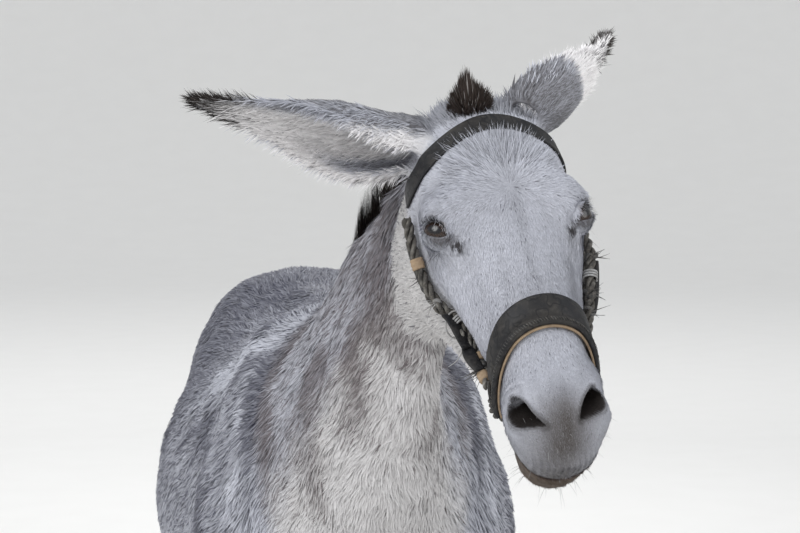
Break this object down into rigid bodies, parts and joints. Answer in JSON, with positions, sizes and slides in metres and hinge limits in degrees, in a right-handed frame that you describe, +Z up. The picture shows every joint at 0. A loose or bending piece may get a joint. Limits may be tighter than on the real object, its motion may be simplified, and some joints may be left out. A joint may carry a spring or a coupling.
{
  "type": "donkey",
  "caption": "Standing grey donkey, life size, with its right ear held out sideways, wearing a home-made strap and rope head halter.",
  "frame": {"origin": "on the floor, under the middle of the bounding box", "axes": "+Z up; the animal faces -Y; its left side is +X"},
  "size_m": [0.5594, 1.7656, 1.5116],
  "materials": {
    "coat": "short pale grey hair, mottled with brown-grey",
    "dark_hair": "coarse dark hair",
    "hoof": "dull grey-brown horn",
    "eye": "wet dark brown",
    "strap": "worn dark grey strap",
    "lining": "raw tan lining",
    "rope": "weathered plaited cord"
  },
  "bodies": {
    "root": {"trunk": "coat", "neck": "coat", "head": "coat", "ear_right": "coat", "ear_left": "coat", "foreleg_left": "coat", "foreleg_right": "coat", "hindleg_left": "coat", "hindleg_right": "coat", "tail_dock": "coat", "mane": "dark_hair", "forelock": "dark_hair", "tail_switch": "dark_hair", "hoof_fore_left": "hoof", "hoof_fore_right": "hoof", "hoof_hind_left": "hoof", "hoof_hind_right": "hoof", "eye_left": "eye", "eye_right": "eye", "crown_strap": "strap", "noseband": "strap", "noseband_lining": "lining", "chin_rope": "rope", "cheek_rope_right": "rope", "cheek_rope_left": "rope"}
  },
  "joints": []
}
